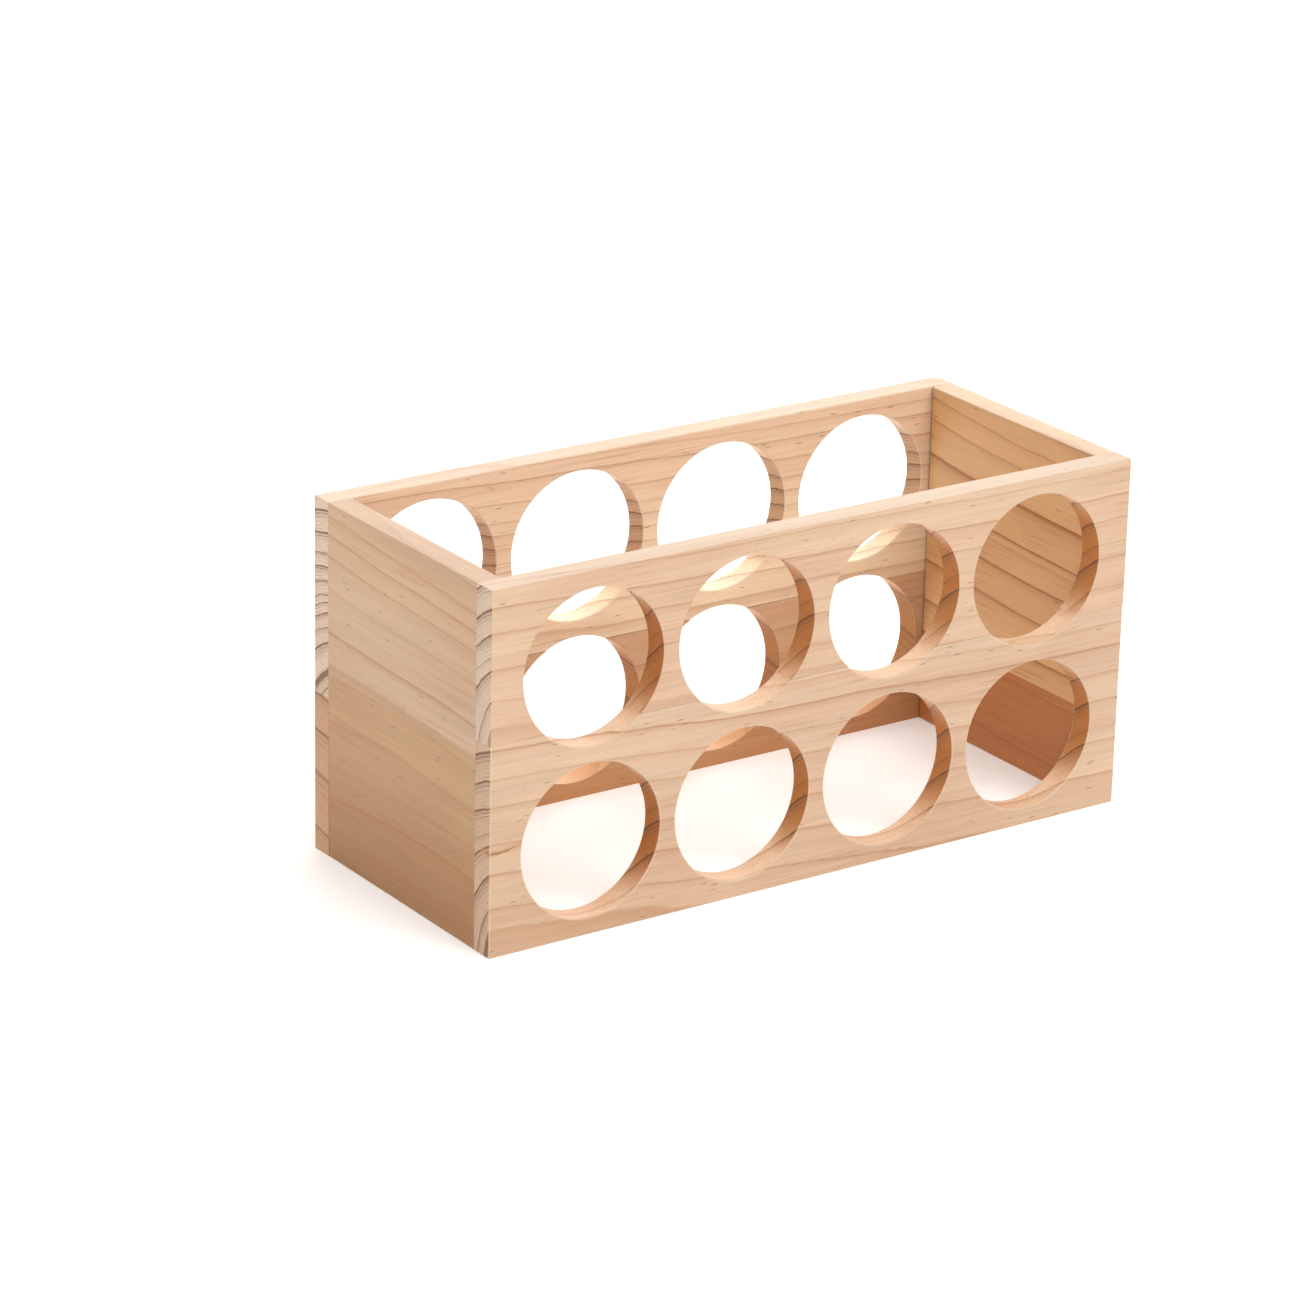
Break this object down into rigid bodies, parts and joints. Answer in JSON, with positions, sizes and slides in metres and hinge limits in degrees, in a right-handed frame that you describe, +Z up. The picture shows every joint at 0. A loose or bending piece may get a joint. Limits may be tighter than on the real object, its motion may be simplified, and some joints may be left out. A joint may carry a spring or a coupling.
{
  "type": "bottle rack",
  "caption": "Open pine box frame without floor or lid, whose long front and back boards carry matching grids of round through holes that hold bottles lying across the rack.",
  "frame": {"origin": "middle of the footprint, on the surface that the rack stands on", "axes": "+X along the length of the rack, +Y from the front board to the back board, +Z up"},
  "size_m": [0.43, 0.182, 0.21],
  "materials": {
    "pine_board": "sanded pale pine, thin matt lacquer, eased edges",
    "pine_end_panel": "sanded pine, a shade warmer, thin matt lacquer",
    "beech_dowel": "raw beech with pressed flutes"
  },
  "bodies": {
    "root": {"front_board_upper_stave": "pine_board", "front_board_lower_stave": "pine_board", "back_board_upper_stave": "pine_board", "back_board_lower_stave": "pine_board", "left_end_upper_stave": "pine_end_panel", "left_end_lower_stave": "pine_end_panel", "right_end_upper_stave": "pine_end_panel", "right_end_lower_stave": "pine_end_panel", "dowel_front_left_1": "beech_dowel", "dowel_front_left_2": "beech_dowel", "dowel_front_left_3": "beech_dowel", "dowel_front_left_4": "beech_dowel", "dowel_front_right_1": "beech_dowel", "dowel_front_right_2": "beech_dowel", "dowel_front_right_3": "beech_dowel", "dowel_front_right_4": "beech_dowel", "dowel_back_left_1": "beech_dowel", "dowel_back_left_2": "beech_dowel", "dowel_back_left_3": "beech_dowel", "dowel_back_left_4": "beech_dowel", "dowel_back_right_1": "beech_dowel", "dowel_back_right_2": "beech_dowel", "dowel_back_right_3": "beech_dowel", "dowel_back_right_4": "beech_dowel"}
  },
  "joints": []
}
